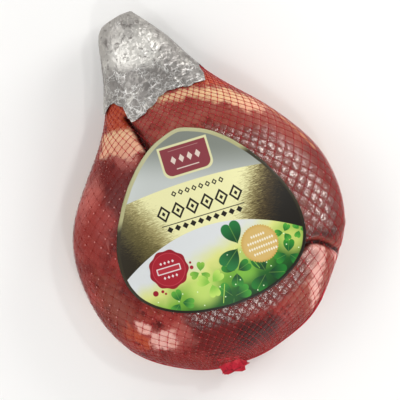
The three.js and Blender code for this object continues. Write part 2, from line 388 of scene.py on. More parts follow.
def add(material, kind, inputs=(), output=0, **settings):
    """A shader node with its settings, and its inputs filled or linked, by name or in their order. A kind in
    capitals is an operation of the Math node. Gives one of its outputs, or those that a tuple names."""
    if kind.isupper():
        kind, settings = "Math", {"operation": kind, **settings}
    made = material.node_tree.nodes.new("ShaderNode" + kind)
    for name, value in settings.items():
        setattr(made, name, value)
    for name, value in inputs.items() if isinstance(inputs, dict) else enumerate(inputs):
        if isinstance(value, bpy.types.NodeSocket):
            material.node_tree.links.new(value, made.inputs[name])
        else:
            made.inputs[name].default_value = linear(value) if isinstance(value, str) else value
    if isinstance(output, tuple):
        return [made.outputs[name] for name in output]
    return made.outputs[output] if made.outputs else None


def coats(material, colour, layers):
    """Colours laid one over another, each by its own share."""
    for share, coat in layers:
        colour = add(material, "Mix", {0: share, 6: colour, 7: coat}, output=2, data_type="RGBA")
    return colour


def fade(material, value, low, high):
    """0 at low, 1 at high, and a soft change between them."""
    return add(material, "MapRange", {0: value, 1: low, 2: high}, interpolation_type="SMOOTHSTEP")


def distance(material, across, up):
    """How far a spot is from where across and up are both 0."""
    squares = add(material, "MULTIPLY_ADD", (across, across, add(material, "MULTIPLY", (up, up))))
    return add(material, "SQRT", (squares,))


def new_material(name):
    material = bpy.data.materials.new(name)
    material.use_nodes = True
    material.node_tree.nodes.clear()
    return material


GLINT_SHIFT = 1.3  # cells: how far the painted glints wander from the middle of their cells
BESIDE_KNOT = 0.34  # cells: from a knot to the painted speck of glint beside it


def dry_cured_meat():
    """Dry-cured lean: deep red, browner where it dried, veined with fat. Under film it looks dense and moist,
    and where air lies under the film it carries a painted sheen, painted glints in the net's cells and
    painted specks of glint beside its knots."""
    meat = new_material("dry_cured_lean_and_fat")

    def patch(name, soft):
        """A stored patch with an edge that wanders and is soft over so many millimetres."""
        depth = add(meat, "Attribute", output="Fac", attribute_name=name)
        return fade(meat, add(meat, "ADD", (depth, wander)), -soft / 2, soft / 2)

    place = add(meat, "TexCoord", output="Object")
    broad = add(meat, "TexNoise", {"Vector": place, "Scale": 1 / (45 * MM), "Detail": 3.0})
    blotch = {"Vector": place, "Scale": 1 / (13 * MM), "Detail": 6.0, "Roughness": 0.65}
    blotch = add(meat, "TexNoise", blotch)
    fleck = add(meat, "TexNoise", {"Vector": place, "Scale": 1 / (4 * MM), "Detail": 4.0, "Roughness": 0.7})
    patchy = add(meat, "TexNoise", {"Vector": place, "Scale": 1 / (28 * MM), "Detail": 2.0})
    wander = add(meat, "MapRange", {0: blotch, 1: 0.3, 2: 0.7, 3: -5.0, 4: 5.0})

    # The shank side of the face has dried longest and is the brownest.
    shank_side = {0: place, 1: (0.9, 0.45, 0)}
    shank_side = add(meat, "VectorMath", shank_side, output="Value", operation="DOT_PRODUCT")
    shank_side = add(meat, "MULTIPLY_ADD", (shank_side, 1 / MM, wander))
    red = coats(meat, "#7b1e19", [
        (fade(meat, broad, 0.44, 0.6), "#a43b35"),
        (fade(meat, blotch, 0.5, 0.72), "#8c3928"),
        (fade(meat, blotch, 0.46, 0.3), "#5e100d"),
    ])
    brown = coats(meat, "#994a3d", [
        (fade(meat, broad, 0.42, 0.62), "#a65e50"),
        (fade(meat, blotch, 0.52, 0.72), "#ab7060"),
        (fade(meat, blotch, 0.46, 0.3), "#813025"),
    ])
    lean = coats(meat, red, [
        (fade(meat, shank_side, -14.0, 30.0), brown),
        (add(meat, "MULTIPLY", (fade(meat, fleck, 0.56, 0.75), 0.35)), "#b67569"),
        (add(meat, "MULTIPLY", (fade(meat, fleck, 0.44, 0.28), 0.5)), "#5e0d07"),
    ])

    # Marbling: thin wavering veins, where the distance to a cell wall is small.
    stretched = add(meat, "Mapping", {"Vector": place, "Rotation": (0, 0, 0.6), "Scale": (1, 0.35, 1)})
    veins = add(meat, "TexVoronoi", {"Vector": stretched, "Scale": 1 / (9 * MM)}, feature="DISTANCE_TO_EDGE")
    veined = add(meat, "MULTIPLY", (fade(meat, veins, 0.06, 0.0), fade(meat, patchy, 0.54, 0.75)))

    # Places in a net cell, from its UV map: a painted glint lies near the cell's middle, shifted from cell to
    # cell, and a painted speck of glint lies beside a knot.
    round_it, along_it = add(meat, "SeparateXYZ", {0: add(meat, "UVMap", uv_map="cells")}, output=("X", "Y"))
    rising, falling = add(meat, "SUBTRACT", (round_it, along_it)), add(meat, "ADD", (round_it, along_it))
    glint_wander = add(meat, "TexNoise", {"Vector": place, "Scale": 1 / (7 * MM), "Detail": 3.0}, output="Color")
    shifts = add(meat, "SeparateXYZ", {0: glint_wander}, output=("X", "Y"))
    middles, knots_beside = [], []
    for way, shift in zip((rising, falling), shifts):
        middle = add(meat, "SUBTRACT", (add(meat, "FRACT", (way,)), 0.5 + GLINT_SHIFT / 2))
        middles.append(add(meat, "MULTIPLY_ADD", (shift, GLINT_SHIFT, middle)))
        beside = add(meat, "FRACT", (add(meat, "ADD", (way, BESIDE_KNOT)),))
        knots_beside.append(add(meat, "SUBTRACT", (beside, 0.5)))
    airy = patch("air", 14.0)
    painted_glints = add(meat, "TexNoise", {"Vector": place, "Scale": 1 / (2.6 * MM), "Detail": 2.0, "Roughness": 0.6})
    painted_cell_glint = fade(meat, distance(meat, *middles), 0.44, 0.22)
    painted_cell_glint = add(meat, "MULTIPLY", (painted_cell_glint, fade(meat, painted_glints, 0.46, 0.56)))
    painted_cell_glint = add(meat, "MULTIPLY", (painted_cell_glint, add(meat, "MULTIPLY_ADD", (patch("painted_glints", 10.0), 0.8, 0.2))))
    painted_cell_glint = add(meat, "MULTIPLY", (painted_cell_glint, airy))
    speck = fade(meat, distance(meat, *knots_beside), 0.1, 0.04)
    speck = add(meat, "MULTIPLY", (speck, fade(meat, patchy, 0.46, 0.6)))

    towards_shank = add(meat, "SeparateXYZ", {0: place}, output="Y")
    fat = coats(meat, "#ecc0b7", [
        (fade(meat, towards_shank, 70 * MM, 100 * MM), "#e6bb9b"),
        (fade(meat, towards_shank, 102 * MM, 122 * MM), "#e6ca9e"),
        (add(meat, "MULTIPLY", (fade(meat, blotch, 0.5, 0.72), 0.5)), "#d38e76"),
        (add(meat, "MULTIPLY", (fade(meat, fleck, 0.52, 0.72), 0.5)), "#ecd5c6"),
    ])

    # The back is skin and fat, cream to orange-brown where salt and smoke have dried it.
    rind = coats(meat, "#cf9664", [
        (fade(meat, broad, 0.35, 0.65), "#a9683b"),
        (fade(meat, blotch, 0.5, 0.75), "#ddb78a"),
        (fade(meat, fleck, 0.4, 0.25), "#8f4f2c"),
    ])
    turned = add(meat, "Attribute", output="Fac", attribute_name="rind")
    turned = add(meat, "ADD", (turned, add(meat, "MapRange", {0: patchy, 1: 0.3, 2: 0.7, 3: -0.12, 4: 0.12})))

    deep = add(meat, "Attribute", output="Fac", attribute_name="painted_seam_shade")
    rim_fat = add(meat, "Attribute", output="Fac", attribute_name="rim_fat")
    rim_fat = add(meat, "MULTIPLY_ADD", (add(meat, "SUBTRACT", (blotch, 0.5)), 1.6, rim_fat))
    colour = coats(meat, lean, [
        (add(meat, "MULTIPLY", (veined, 0.35)), "#d98f82"),
        (add(meat, "MULTIPLY", (patch("deep", 16.0), 0.75)), "#681816"),
        (add(meat, "MULTIPLY", (patch("ruddy", 12.0), 0.7)), "#a33f38"),
        (add(meat, "MULTIPLY", (patch("tan", 16.0), 0.7)), "#914432"),
        (add(meat, "MULTIPLY", (patch("haze", 16.0), 0.4)), "#e58e84"),
        # almost black lean, and beside the seams almost black painted shade that widens their gaps
        (add(meat, "MULTIPLY", (patch("dark", 12.0), 0.85)), "#3c0a07"),
        (add(meat, "MULTIPLY", (patch("smoked", 7.0), 0.9)), "#bb5230"),
        (patch("fat", 6.0), fat),
        (add(meat, "MULTIPLY", (fade(meat, rim_fat, 0.4, 0.95), 0.8)), "#c98d5e"),
        # painted sheen where air lies under the film, painted glints in its cells and painted specks beside
        # the knots
        (add(meat, "MULTIPLY", (airy, 0.25)), "#b07468"),
        (painted_cell_glint, "#fff6f2"),
        (add(meat, "MULTIPLY", (speck, 0.65)), "#f2b6ae"),
        (fade(meat, turned, 0.0, 0.1), rind),
        # painted shade, almost black, in the seams between muscles and along the net's gather
        (fade(meat, deep, 0.4, 0.95), "#380c09"),
    ])
    grain = add(meat, "TexNoise", {"Vector": place, "Scale": 1 / (1.6 * MM), "Detail": 6.0, "Roughness": 0.6})
    bump = add(meat, "Bump", {"Height": grain, "Distance": 0.5 * MM, "Strength": 0.5})
    surface = add(meat, "BsdfPrincipled", {
        "Base Color": colour, "Normal": bump, "Roughness": 0.6, "Specular IOR Level": 0.1,
        "Subsurface Weight": 0.06, "Subsurface Radius": (0.004, 0.0015, 0.001),
    })
    add(meat, "OutputMaterial", {"Surface": surface})
    return meat


ham.data.materials.append(dry_cured_meat())
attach(ham, "root")
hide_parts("ham")

# ------------------------------------------------------------------------------------------------------------
# The vacuum bag: clear shrink film drawn on to the meat. The net presses it in, so that it swells through the
# cells as small pillows, which wrinkle and glint where air is left under them. Its neck ends under the foil.
# ------------------------------------------------------------------------------------------------------------
BAG_NECK = 0.9  # the share of the ham's length that it covers from the butt end
CLINGING = 0.08  # how loose the film is where no air lies under it
AIR_EDGE = 12  # millimetres over which the film comes loose


def clear_film():
    """Polyamide and polythene shrink film: all but invisible, except where it mirrors the lights. Over air it
    stands up in a wrinkled pillow in each net cell, and it has long folds where it bridges the rim."""
    film = new_material("clear_shrink_film")
    place = add(film, "TexCoord", output="Object")
    cells = add(film, "UVMap", uv_map="cells")
    round_it, along_it = add(film, "SeparateXYZ", {0: cells}, output=("X", "Y"))
    pillow = 1.0
    for crossing in ("ADD", "SUBTRACT"):
        wave = add(film, "MULTIPLY", (add(film, crossing, (round_it, along_it)), math.pi))
        wave = add(film, "ABSOLUTE", (add(film, "SINE", (wave,)),))
        pillow = add(film, "MULTIPLY", (pillow, wave))
    pillow = add(film, "POWER", (pillow, 0.6))
    face = add(film, "Attribute", output="Fac", attribute_name="face")
    wrinkles = {"Vector": place, "Scale": 1 / (3.4 * MM), "Detail": 3.0, "Distortion": 1.5}
    wrinkles = add(film, "TexNoise", wrinkles)
    stretched = add(film, "Mapping", {"Vector": cells, "Scale": (1.1, 0.09, 1)})
    folds = add(film, "TexNoise", {"Vector": stretched, "Scale": 1.0, "Detail": 4.0, "Distortion": 0.4})
    folds = add(film, "MULTIPLY", (fade(film, face, 0.9, 0.1), folds))
    loose = add(film, "Attribute", output="Fac", attribute_name="loose")
    height = add(film, "MULTIPLY_ADD", (wrinkles, 0.8, pillow))
    height = add(film, "MULTIPLY", (height, loose))
    height = add(film, "MULTIPLY_ADD", (folds, 1.6, height))
    bump = add(film, "Bump", {"Height": height, "Distance": 1.3 * MM, "Strength": 0.9})
    gloss = add(film, "MapRange", {0: loose, 1: 0.1, 2: 0.7, 3: 0.34, 4: 0.1})
    mirror = add(film, "BsdfGlossy", {"Color": "#ffffff", "Roughness": gloss, "Normal": bump})
    clear = add(film, "BsdfTransparent", {"Color": "#fffaf8"})
    # Where air lies under the film, its inner side mirrors as well. Where it clings, it hardly shines.
    sides = add(film, "MULTIPLY_ADD", (loose, 1.9, 0.3))
    share = add(film, "Fresnel", {"IOR": 1.42, "Normal": bump})
    share = add(film, "MULTIPLY", (share, sides), use_clamp=True)
    add(film, "OutputMaterial", {"Surface": add(film, "MixShader", {0: share, 1: clear, 2: mirror})})
    return film


film_material = clear_film()
bag, u, v = grid_piece("vacuum_film", SKIN_COLUMNS, SKIN_ROWS, as_ball)
v = v * BAG_NECK
points, facing = on_form(u, v)
points, facing = on_form(u, v, relief(points, facing, u, v, BAG_SWELL) + BAG_FACE)
points[:, 2] = np.maximum(points[:, 2], REST_CLEARANCE - BAG_OVER_MEAT)
shape(bag, points)
map_cells(bag, u, v)
remember(bag, "face", on_face(facing))
air = np.max([depth_in(points, outline) for outline in AIR_AND_GLINT_OUTLINES], axis=0)
over_air = np.clip(air / AIR_EDGE + 0.5, 0, 1) * (facing[:, 2] > 0)
remember(bag, "loose", CLINGING + (1 - CLINGING) * over_air)
bag.data.materials.append(film_material)
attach(bag, "root")
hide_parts("vacuum_bag")

# ------------------------------------------------------------------------------------------------------------
# The net sleeve: crimson polyester yarn, knitted as a tube of open cells and stretched over the bag. Two sets
# of yarns cross at knots, and some strands bunch together along the rim. At the butt end it is gathered, and
# its end sticks out as a crumpled tail.
# ------------------------------------------------------------------------------------------------------------
NET_NECK = 0.86  # the share of the ham's length that it covers from the butt end
POINTS_BETWEEN_KNOTS = 4
KNOT_PINCH = 0.18  # how much a cell's yarns run side by side at its knots
FIRST_ROW = 1
KNOT_SIZE = 1.7 * MM
KNOT_REST = KNOT_SIZE / 3  # how high the lowest knots lie
BEAD_SHAPE = (0.75, 1.25, 0.55)
SUNK_YARN, CLEAR_YARN = 0.32, 0.87  # the share of a yarn's thickness that shows
SHANK_SIDE_CLEAR, BUTT_SIDE_CLEAR = 0.85, 0.45  # how clear of the lean the yarn gets on these sides
BUNCHED_YARN = 1.5 * MM
BUNCH_STRANDS, BUNCH_PITCH, BUNCH_WANDER, BUNCH_LIFT = 5, 1.3 * MM, 1.6 * MM, 0.2 * MM
RIM_LEFT, RIM_BUTT, RIM_RIGHT = 0.27, 0.012, 0.25  # where the bunch starts, turns and ends along the ham
RIM_STEPS = 90  # on each side
LEAST_GIRTH = 60 * MM  # round the butt end, so that the strands don't swing right round it
RIM_FADE, RIM_SINK = 25, 3 * MM  # over this many steps its ends sink in by this much
last_row = int(np.interp(NET_NECK, shares, row_number))


def polyester_yarn():
    """Textured polyester yarn, crimson. Where it is sunk into moist lean it looks as dark as the meat, and
    where it is bunched, its pleats get darker patches of painted shade."""
    yarn = new_material("crimson_polyester_yarn")
    place = add(yarn, "TexCoord", output="Object")
    fibres = add(yarn, "TexNoise", {"Vector": place, "Scale": 1 / (1.5 * MM), "Detail": 2.0})
    raised = add(yarn, "Attribute", output="Fac", attribute_name="raised")
    bright = coats(yarn, "#b02531", [(fade(yarn, fibres, 0.35, 0.7), "#c43d45")])
    pleats = add(yarn, "TexNoise", {"Vector": place, "Scale": 1 / (5 * MM), "Detail": 2.0, "Distortion": 2.0})
    # bunched yarn: crimson, with darker patches of painted shade for its pleats
    bunch = coats(yarn, "#b41f31", [(fade(yarn, pleats, 0.5, 0.36), "#7c1420")])
    colour = coats(yarn, "#92302a", [(raised, bright), (fade(yarn, raised, 1.0, 1.8), bunch)])
    finish = {"Base Color": colour, "Roughness": 0.6, "Specular IOR Level": 0.12}
    surface = add(yarn, "BsdfPrincipled", finish)
    add(yarn, "OutputMaterial", {"Surface": surface})
    return yarn


def clear_of_meat(points):
    """How clear of the lean the yarn stands, from 0 to 1: most over fat, less on the shank and butt sides,
    least on the left."""
    over_fat = np.max([depth_in(points, outline) for outline in FAT_OUTLINES], axis=0)
    shank_side = np.clip((points[:, 0] * 0.9 + points[:, 1] * 0.45) / (60 * MM) + 0.3, 0, SHANK_SIDE_CLEAR)
    butt_side = np.clip((-60 * MM - points[:, 1]) / (25 * MM), 0, BUTT_SIDE_CLEAR)
    return np.clip(np.maximum(shank_side, butt_side) + np.clip(over_fat / 3 + 0.6, 0, 1), 0, 1)


def net_points(u, row):
    """Where the middle of a yarn lies, by its place round the ham and its row."""
    v = np.interp(row, row_number, shares)
    points, facing = on_form(u, v)
    points, facing = on_form(u, v, relief(points, facing, u, v, 0) + BAG_FACE - BAG_SWELL + 0.8 * YARN)
    points[:, 2] = np.maximum(points[:, 2], KNOT_REST)
    return points, facing


def yarn_mesh(name, paths, thickness):
    """A piece of several yarns, each of them a curve with a round section."""
    curve = bpy.data.curves.new(name, "CURVE")
    curve.dimensions = "3D"
    curve.bevel_depth = thickness / 2
    curve.bevel_resolution = 0
    for path in paths:
        spline = curve.splines.new("POLY")
        spline.points.add(len(path) - 1)
        spline.points.foreach_set("co", np.c_[path, np.ones(len(path))].ravel())
        spline.points.foreach_set("radius", SUNK_YARN + (CLEAR_YARN - SUNK_YARN) * clear_of_meat(path))
    shaped = as_piece(name, curve)
    mesh = bpy.data.meshes.new_from_object(shaped.evaluated_get(bpy.context.evaluated_depsgraph_get()))
    bpy.data.objects.remove(shaped)
    mesh.shade_smooth()
    return as_piece(name, mesh)


def leaning_yarns(lean):
    """The middles of all the yarns that lean one way."""
    rows = np.arange(FIRST_ROW, last_row, 1 / POINTS_BETWEEN_KNOTS)
    bow = KNOT_PINCH * np.sin(2 * np.pi * rows) / (2 * np.pi)
    sideways = lean * (rows / 2 - bow)
    return [net_points((cell + sideways) / CELLS_ROUND, rows)[0] for cell in range(CELLS_ROUND)]


def rim_path(inwards, lift, wander, seed):
    """Along the rim from the left side round the butt end to the right side, so far in towards the face."""
    v = np.linspace((RIM_LEFT, RIM_BUTT), (RIM_BUTT, RIM_RIGHT), RIM_STEPS).T.ravel()
    steps = np.arange(2 * RIM_STEPS)
    sway = wander * np.array([noise.noise(Vector((step / 9, seed, 0))) for step in steps])
    inwards = (inwards + sway) / np.maximum(np.interp(v, shares, girth), LEAST_GIRTH)
    u = np.where(steps < RIM_STEPS, 0.5 - inwards, inwards)
    points, facing = on_form(u, v)
    from_end = np.minimum(steps, steps[::-1]) / RIM_FADE
    sink = -RIM_SINK * np.clip(1 - from_end, 0, 1)
    return on_form(u, v, relief(points, facing, u, v, 0) + BAG_FACE + lift + sink)[0]


def knots():
    """A small flattened bead of yarn at every crossing."""
    bm = bmesh.new()
    bmesh.ops.create_icosphere(bm, subdivisions=1, radius=KNOT_SIZE / 2)
    bmesh.ops.scale(bm, vec=BEAD_SHAPE, verts=bm.verts)
    bead = bpy.data.meshes.new("bead")
    bm.to_mesh(bead)
    bm.clear()
    for row in range(FIRST_ROW, last_row):
        cells = (np.arange(CELLS_ROUND) + row / 2) / CELLS_ROUND
        for point, facing in zip(*net_points(cells, np.full(CELLS_ROUND, float(row)))):
            turn = Vector(facing).to_track_quat("Z", "Y").to_matrix().to_4x4()
            turn.translation = Vector(point)
            bead.transform(turn)
            bm.from_mesh(bead)
            bead.transform(turn.inverted())
    mesh = bpy.data.meshes.new("net_knots")
    bm.to_mesh(mesh)
    bm.free()
    bpy.data.meshes.remove(bead)
    mesh.shade_smooth()
    return as_piece("net_knots", mesh)


yarn_material = polyester_yarn()
bunched = [
    rim_path((strand - 0.5) * BUNCH_PITCH, BUNCH_LIFT, BUNCH_WANDER, seed=strand * 3.7)
    for strand in range(BUNCH_STRANDS)
]
net_pieces = [
    yarn_mesh("net_yarns_rising", leaning_yarns(1), YARN),
    yarn_mesh("net_yarns_falling", leaning_yarns(-1), YARN),
    yarn_mesh("net_bunched_at_rim", bunched, BUNCHED_YARN),
    knots(),
]
for piece in net_pieces:
    clear = clear_of_meat(positions(piece.data))
    remember(piece, "raised", clear if piece.name != "net_bunched_at_rim" else 2 * np.ones(len(clear)))
    piece.data.materials.clear()
    piece.data.materials.append(yarn_material)
    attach(piece, "root")
    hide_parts("net_sleeve")

# The tail: the net's cut end, squeezed flat in pleats, in plies that fan out to ragged points.
TAIL_WALL = 0.8 * MM
PLEAT_DEPTH = 1.0 * MM
RAG_LENGTH, RAGS = 1.8, 1.6  # in millimetres, and how many of them a ply ends in
SHADED_ROOT_RAISED, END_RAISED = 0.5, 1.8  # its yarns go from single to bunched; the root is darker, which is painted shade
BUTT_EDGE = -143  # how far the ham reaches under the tail, in millimetres
HEIGHT_PAST_BUTT = 55 * MM
TAIL_PLIES = [  # name, root and end from left to right in millimetres, drop, pleats, and where they start
    ("net_tail_upper", ((-30, -138), (-7, -141)), ((-29, -155), (-6, -153)), 4 * MM, 2.5, 0.4),
    ("net_tail_middle", ((-28, -140), (-8, -142)), ((-27, -155.5), (-4, -157)), 7 * MM, 2, 1.7),
    ("net_tail_lower", ((-22, -141), (-8, -143)), ((-18, -152), (2, -152.5)), 10 * MM, 2, 2.9),
]


def tail_ply(name, root, end, drop, pleats, phase):
    """One ply of the tail: pleated from side to side, with a torn end."""
    ply, a, b = grid_piece(name, 48, 24, lambda a, b: (a, b, 0))
    rags = 2.0 * np.abs(np.mod(a * RAGS + phase, 1) - 0.5) - 0.5
    at_root = [left + (right - left) * a for left, right in zip(*root)]
    at_end = [left + (right - left) * a for left, right in zip(*end)]
    x, y = (near + (far - near) * b for near, far in zip(at_root, at_end))
    x, y = x + 0.6 * np.sin(9 * b + phase), y - RAG_LENGTH * rags * b**3
    tops = [hit((px * MM, max(py, BUTT_EDGE) * MM, 1), (0, 0, -1)) for px, py in zip(x, y)]
    on_ham = np.array([top.z if top else HEIGHT_PAST_BUTT for top in tops])
    folded = PLEAT_DEPTH * np.sin(2 * math.pi * pleats * a + phase + 7 * b) * (0.4 + 0.6 * b)
    shape(ply, np.c_[x * MM, y * MM, on_ham + NET_FACE + folded - drop * b])
    wall = ply.modifiers.new("wall", "SOLIDIFY")
    wall.thickness = TAIL_WALL
    # From darker at the root, which is painted shade, to the colour of bunched yarn.
    remember(ply, "raised", SHADED_ROOT_RAISED + (END_RAISED - SHADED_ROOT_RAISED) * np.clip(b * 1.6, 0, 1))
    ply.data.materials.append(yarn_material)
    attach(ply, "root")
    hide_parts("net_sleeve")


for ply in TAIL_PLIES:
    tail_ply(*ply)

# ------------------------------------------------------------------------------------------------------------
# The foil: kitchen-gauge aluminium, crumpled round the shank by hand, closed over its tip and torn off
# unevenly. It is stiff enough to keep every crease, so it is made of many small flat facets.
# ------------------------------------------------------------------------------------------------------------
TORN_EDGE = [  # angle round the shank from the right side over the face, in degrees, and place along it in mm
    (0, 156), (14, 155), (23, 152), (30, 141), (34, 137.5), (41, 136.5), (61, 137), (88, 138), (100, 133),
    (114, 125.5), (131, 118.5), (136.5, 116.5), (139, 124), (141, 133), (148, 138.5), (156, 143.5),
    (161, 140.5), (166, 136), (174, 135), (205, 141), (240, 134), (275, 139), (310, 133), (340, 147),
    (360, 156),
]
SHANK_MIDDLE = (0, 36 * MM)
FOIL_FACE = NET_FACE + 0.7 * MM
FOIL_WALL = 0.3 * MM
FOIL_COLUMNS, FOIL_ROWS = 64, 40
FACET_SCATTER = 0.35  # how far a facet's corners stray, as a share of its size
BIG_CREASE, SMALL_CREASE = 0.4 * MM, 0.1 * MM
FOLDED_STRIP = [(-66, 134), (-60, 160), (-56, 184), (-54, 200)]
STRIP_WIDTH, STRIP_LIFT = 3.0 * MM, 1.0 * MM
BRIGHT_CENTRE, BRIGHT_REACH = (-18 * MM, 192 * MM, 60 * MM), (33 * MM, 20 * MM, 60 * MM)
CLOSED_TIP = [  # the tip's outline from above, folded square, from left to right, in millimetres
    (-54, 206), (-50.5, 218), (-44.8, 227), (-21.5, 233.5), (-10.2, 234.3), (7, 214), (19, 199), (34, 173),
    (46, 155),
]


def torn_edge(u):
    """How far along the ham the foil's edge lies, for places u round it."""
    trial = np.linspace(0.5, 0.95, 400)
    angles, edge = zip(*TORN_EDGE)
    found = []
    for place in u:
        points = on_form(np.full(len(trial), place), trial)[0]
        angle = np.degrees(np.arctan2(points[:, 2] - SHANK_MIDDLE[1], points[:, 0] - SHANK_MIDDLE[0])) % 360
        short = points[:, 1] / MM < np.interp(angle, angles, edge)
        found.append(trial[np.flatnonzero(short).max(initial=0)])
    return np.array(found)


def crumpled_foil():
    """Household aluminium foil: dull grey where it is smooth, with painted light towards the tip, a broad
    painted highlight, small dents painted light and dark as their highlights and shade, and painted
    highlights along a scribble of sharp creases, densest near the torn edge."""
    metal = new_material("crumpled_aluminium_foil")
    place = add(metal, "TexCoord", output="Object")
    towards_tip = add(metal, "SeparateXYZ", {0: place}, output="Y")
    bent = add(metal, "TexNoise", {"Vector": place, "Scale": 1 / (11 * MM), "Detail": 4.0}, output="Color")
    bent = add(metal, "VectorMath", {0: bent, "Scale": 12 * MM}, operation="SCALE")
    bent = add(metal, "VectorMath", {0: place, 1: bent}, operation="ADD")
    creases = height = 0.0
    for size, width, depth in ((12 * MM, 0.03, 1.0), (6 * MM, 0.045, 0.4)):
        edge = add(metal, "TexVoronoi", {"Vector": bent, "Scale": 1 / size}, feature="DISTANCE_TO_EDGE")
        line = fade(metal, edge, width, 0.0)
        creases = add(metal, "MAXIMUM", (line, creases))
        height = add(metal, "MULTIPLY_ADD", (edge, depth, height))
    dents = add(metal, "TexNoise", {"Vector": bent, "Scale": 1 / (7 * MM), "Detail": 3.0, "Roughness": 0.5})
    height = add(metal, "MULTIPLY_ADD", (dents, 0.8, height))
    bump = add(metal, "Bump", {"Height": height, "Distance": 1.6 * MM, "Strength": 0.28})
    tone = add(metal, "TexNoise", {"Vector": place, "Scale": 1 / (22 * MM), "Detail": 3.0})
    broad_painted_highlight = {"Vector": place, "Location": BRIGHT_CENTRE, "Scale": BRIGHT_REACH}
    broad_painted_highlight = add(metal, "Mapping", broad_painted_highlight, vector_type="TEXTURE")
    broad_painted_highlight = add(metal, "VectorMath", {0: broad_painted_highlight}, output="Value", operation="LENGTH")
    broad_painted_highlight = add(metal, "MULTIPLY_ADD", (tone, 1.6, broad_painted_highlight))
    here = add(metal, "TexNoise", {"Vector": place, "Scale": 1 / (12 * MM), "Detail": 2.0})
    crease_glints_near_edge = add(metal, "MapRange", {0: towards_tip, 1: 205 * MM, 2: 140 * MM, 3: -0.14, 4: 0.1})
    here = add(metal, "ADD", (here, crease_glints_near_edge))
    painted_crease_highlight = add(metal, "MULTIPLY", (creases, fade(metal, here, 0.44, 0.56)))
    strip = add(metal, "Attribute", output="Fac", attribute_name="strip")
    # Painted light: lighter towards the tip, a broad painted highlight, dents painted light and dark, and
    # painted highlights along the creases.
    colour = coats(metal, "#8a8682", [
        (fade(metal, tone, 0.42, 0.62), "#989490"),
        (fade(metal, towards_tip, 180 * MM, 212 * MM), "#aaa6a1"),
        (fade(metal, broad_painted_highlight, 2.1, 1.3), "#e2dfd8"),
        (fade(metal, dents, 0.46, 0.3), "#85807c"),
        (fade(metal, dents, 0.55, 0.75), "#bcb8b1"),
        (fade(metal, strip, 0.35, 0.8), "#d6d4cf"),
        (add(metal, "MULTIPLY", (painted_crease_highlight, 0.7)), "#f4f3ef"),
    ])
    finish = {"Base Color": colour, "Metallic": 1.0, "Roughness": 0.45, "Normal": bump}
    surface = add(metal, "BsdfPrincipled", finish)
    add(metal, "OutputMaterial", {"Surface": surface})
    return metal


foil, u, w = grid_piece("foil_cap_crumpled", FOIL_COLUMNS, FOIL_ROWS, as_ball)
rng = np.random.default_rng(7)
start = np.interp(u, np.linspace(0, 1, 361), torn_edge(np.linspace(0, 1, 361)))
jitter = np.where((w > 0.02) & (w < 0.98), 1, 0)  # the torn edge and the tip stay in place
u = u + jitter * rng.uniform(-FACET_SCATTER, FACET_SCATTER, len(u)) / FOIL_COLUMNS
w_shifted = w + jitter * rng.uniform(-FACET_SCATTER, FACET_SCATTER, len(u)) / FOIL_ROWS
v = start + (1 - start) * np.clip(w_shifted, 0, 1)
points, facing = on_form(u, v)
strip = nearness(points, FOLDED_STRIP, STRIP_WIDTH)
lift = FOIL_FACE + rng.uniform(-1, 1, len(u)) * BIG_CREASE * jitter * (1 - strip) + STRIP_LIFT * strip
points, facing = on_form(u, v, lift)
tip_x, tip_y = zip(*CLOSED_TIP)
points[:, 1] = np.minimum(points[:, 1], np.interp(points[:, 0] / MM, tip_x, tip_y) * MM)
shape(foil, points)
remember(foil, "strip", strip)
bm = bmesh.new()
bm.from_mesh(foil.data)
bm.verts.ensure_lookup_table()
open_end = min(bm.verts, key=lambda corner: abs(corner.co.y - points[w.argmin(), 1]) + (w[corner.index] > 0))
bmesh.ops.delete(bm, geom=[open_end], context="VERTS")
bmesh.ops.triangulate(bm, faces=bm.faces)
bmesh.ops.subdivide_edges(bm, edges=bm.edges, cuts=1)
for corner in bm.verts:
    if not corner.is_boundary:
        corner.co += corner.normal * rng.uniform(-1, 1) * SMALL_CREASE
bm.to_mesh(foil.data)
bm.free()
foil.data.shade_flat()
foil_wall = foil.modifiers.new("wall", "SOLIDIFY")
foil_wall.thickness = FOIL_WALL
foil.data.materials.append(crumpled_foil())
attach(foil, "root")
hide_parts("foil_cap")

# ------------------------------------------------------------------------------------------------------------
# The label: metallised film, printed in silver, gold and green, die-cut to a rounded triangle and stuck over
# the net across the face. Its print is plain ornament without words: a shield, rows of lozenges between
# rules, leaves, a wax seal and a badge.
# ------------------------------------------------------------------------------------------------------------
LABEL_FACE = NET_FACE + 0.9 * MM
LABEL_WALL = 0.35 * MM
LABEL_COLUMNS, LABEL_RINGS = 180, 60
NARROW_BORDER, BORDER = 1.3, 2.4  # its printed border below and at the top, in millimetres
LABEL_CENTRE = (0.0, 2 * MM)


def label_rim():
    """The CAD label's outline, as distances from its centre by angle, with its facets rounded off."""
    corners = positions(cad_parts["label"].data)[:, :2] - LABEL_CENTRE
    angle, reach = np.arctan2(corners[:, 1], corners[:, 0]), np.hypot(*corners.T)
    spokes = np.unique(angle[reach > 5 * MM].round(3))
    rim = [reach[np.abs(angle - spoke) < 0.002].max() for spoke in spokes]
    fine = np.linspace(-math.pi, math.pi, 721)
    reaches = np.interp(fine, spokes, rim, period=2 * math.pi)
    soft = np.exp(-(np.arange(-14, 15) / 6) ** 2)
    reaches = np.convolve(np.r_[reaches[-29:-1], reaches, reaches[1:29]], soft / soft.sum(), "same")[28:-28]
    return fine, reaches


def at_polar(angle, reach):
    """A place on the label, seen from above."""
    return LABEL_CENTRE[0] + reach * np.cos(angle), LABEL_CENTRE[1] + reach * np.sin(angle)


def as_disc(a, b):
    """A place on a disc, whose middle is the label's."""
    return b * math.cos(2 * math.pi * a), b * math.sin(2 * math.pi * a), 0


